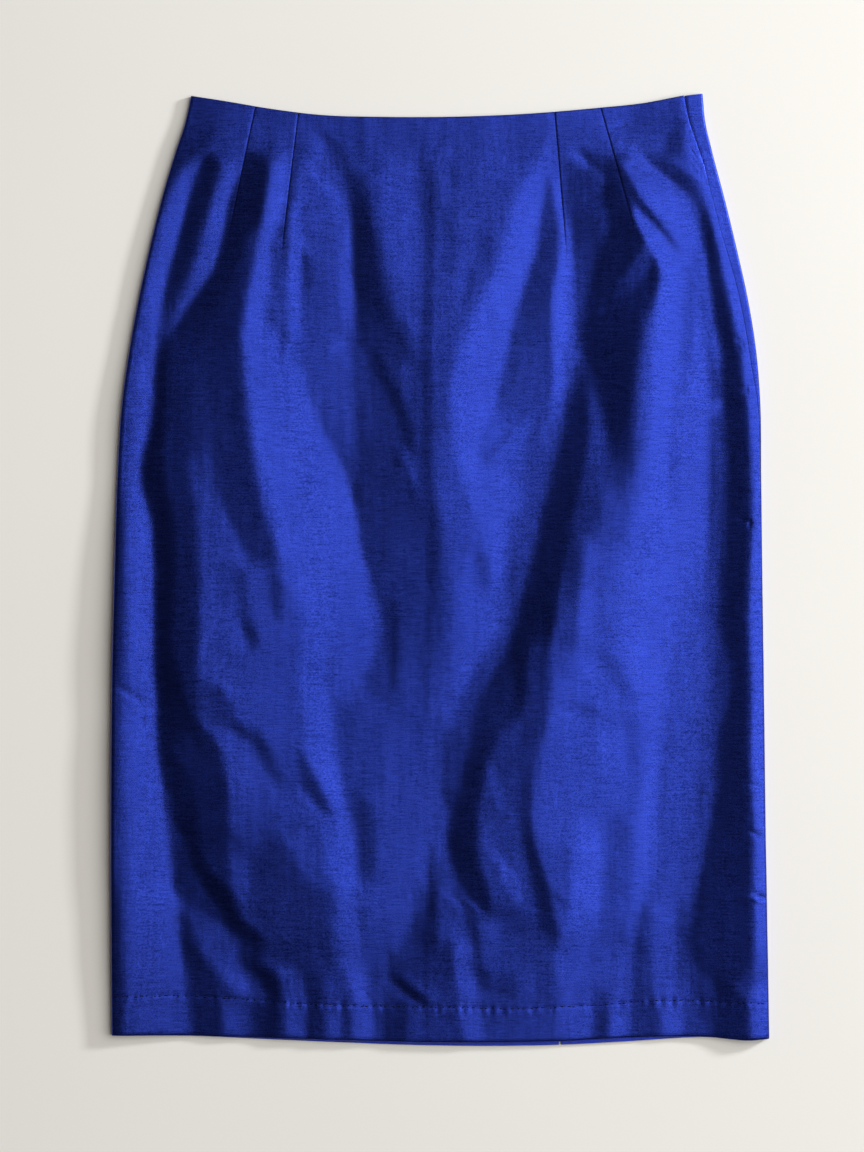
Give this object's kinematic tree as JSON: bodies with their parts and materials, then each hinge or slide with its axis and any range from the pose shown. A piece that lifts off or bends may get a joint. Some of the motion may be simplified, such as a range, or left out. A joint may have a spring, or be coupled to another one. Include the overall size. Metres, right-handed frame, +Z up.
{
  "type": "pencil skirt",
  "caption": "Knee-length straight skirt of plain slubbed silk, laid flat, with a darted waist edge, a turned-up hem and a concealed zip in its side seam.",
  "frame": {"origin": "bottom centre of the bounding box, on the surface the skirt lies on", "axes": "+Y along the skirt from hem to waist, +Z up from the surface through back and front, +X to the right of a viewer who looks down on the front with the waist at the top"},
  "size_m": [0.4889, 0.7063, 0.0059],
  "materials": {
    "silk": "slubbed silk with a soft sheen",
    "zip_tape": "matt woven tape",
    "zip_metal": "enamelled"
  },
  "bodies": {
    "root": {"front_panel": "silk", "back_panel": "silk", "front_hem": "silk", "back_hem": "silk", "side_zip": "zip_tape", "zip_slider": "zip_metal"}
  },
  "joints": []
}
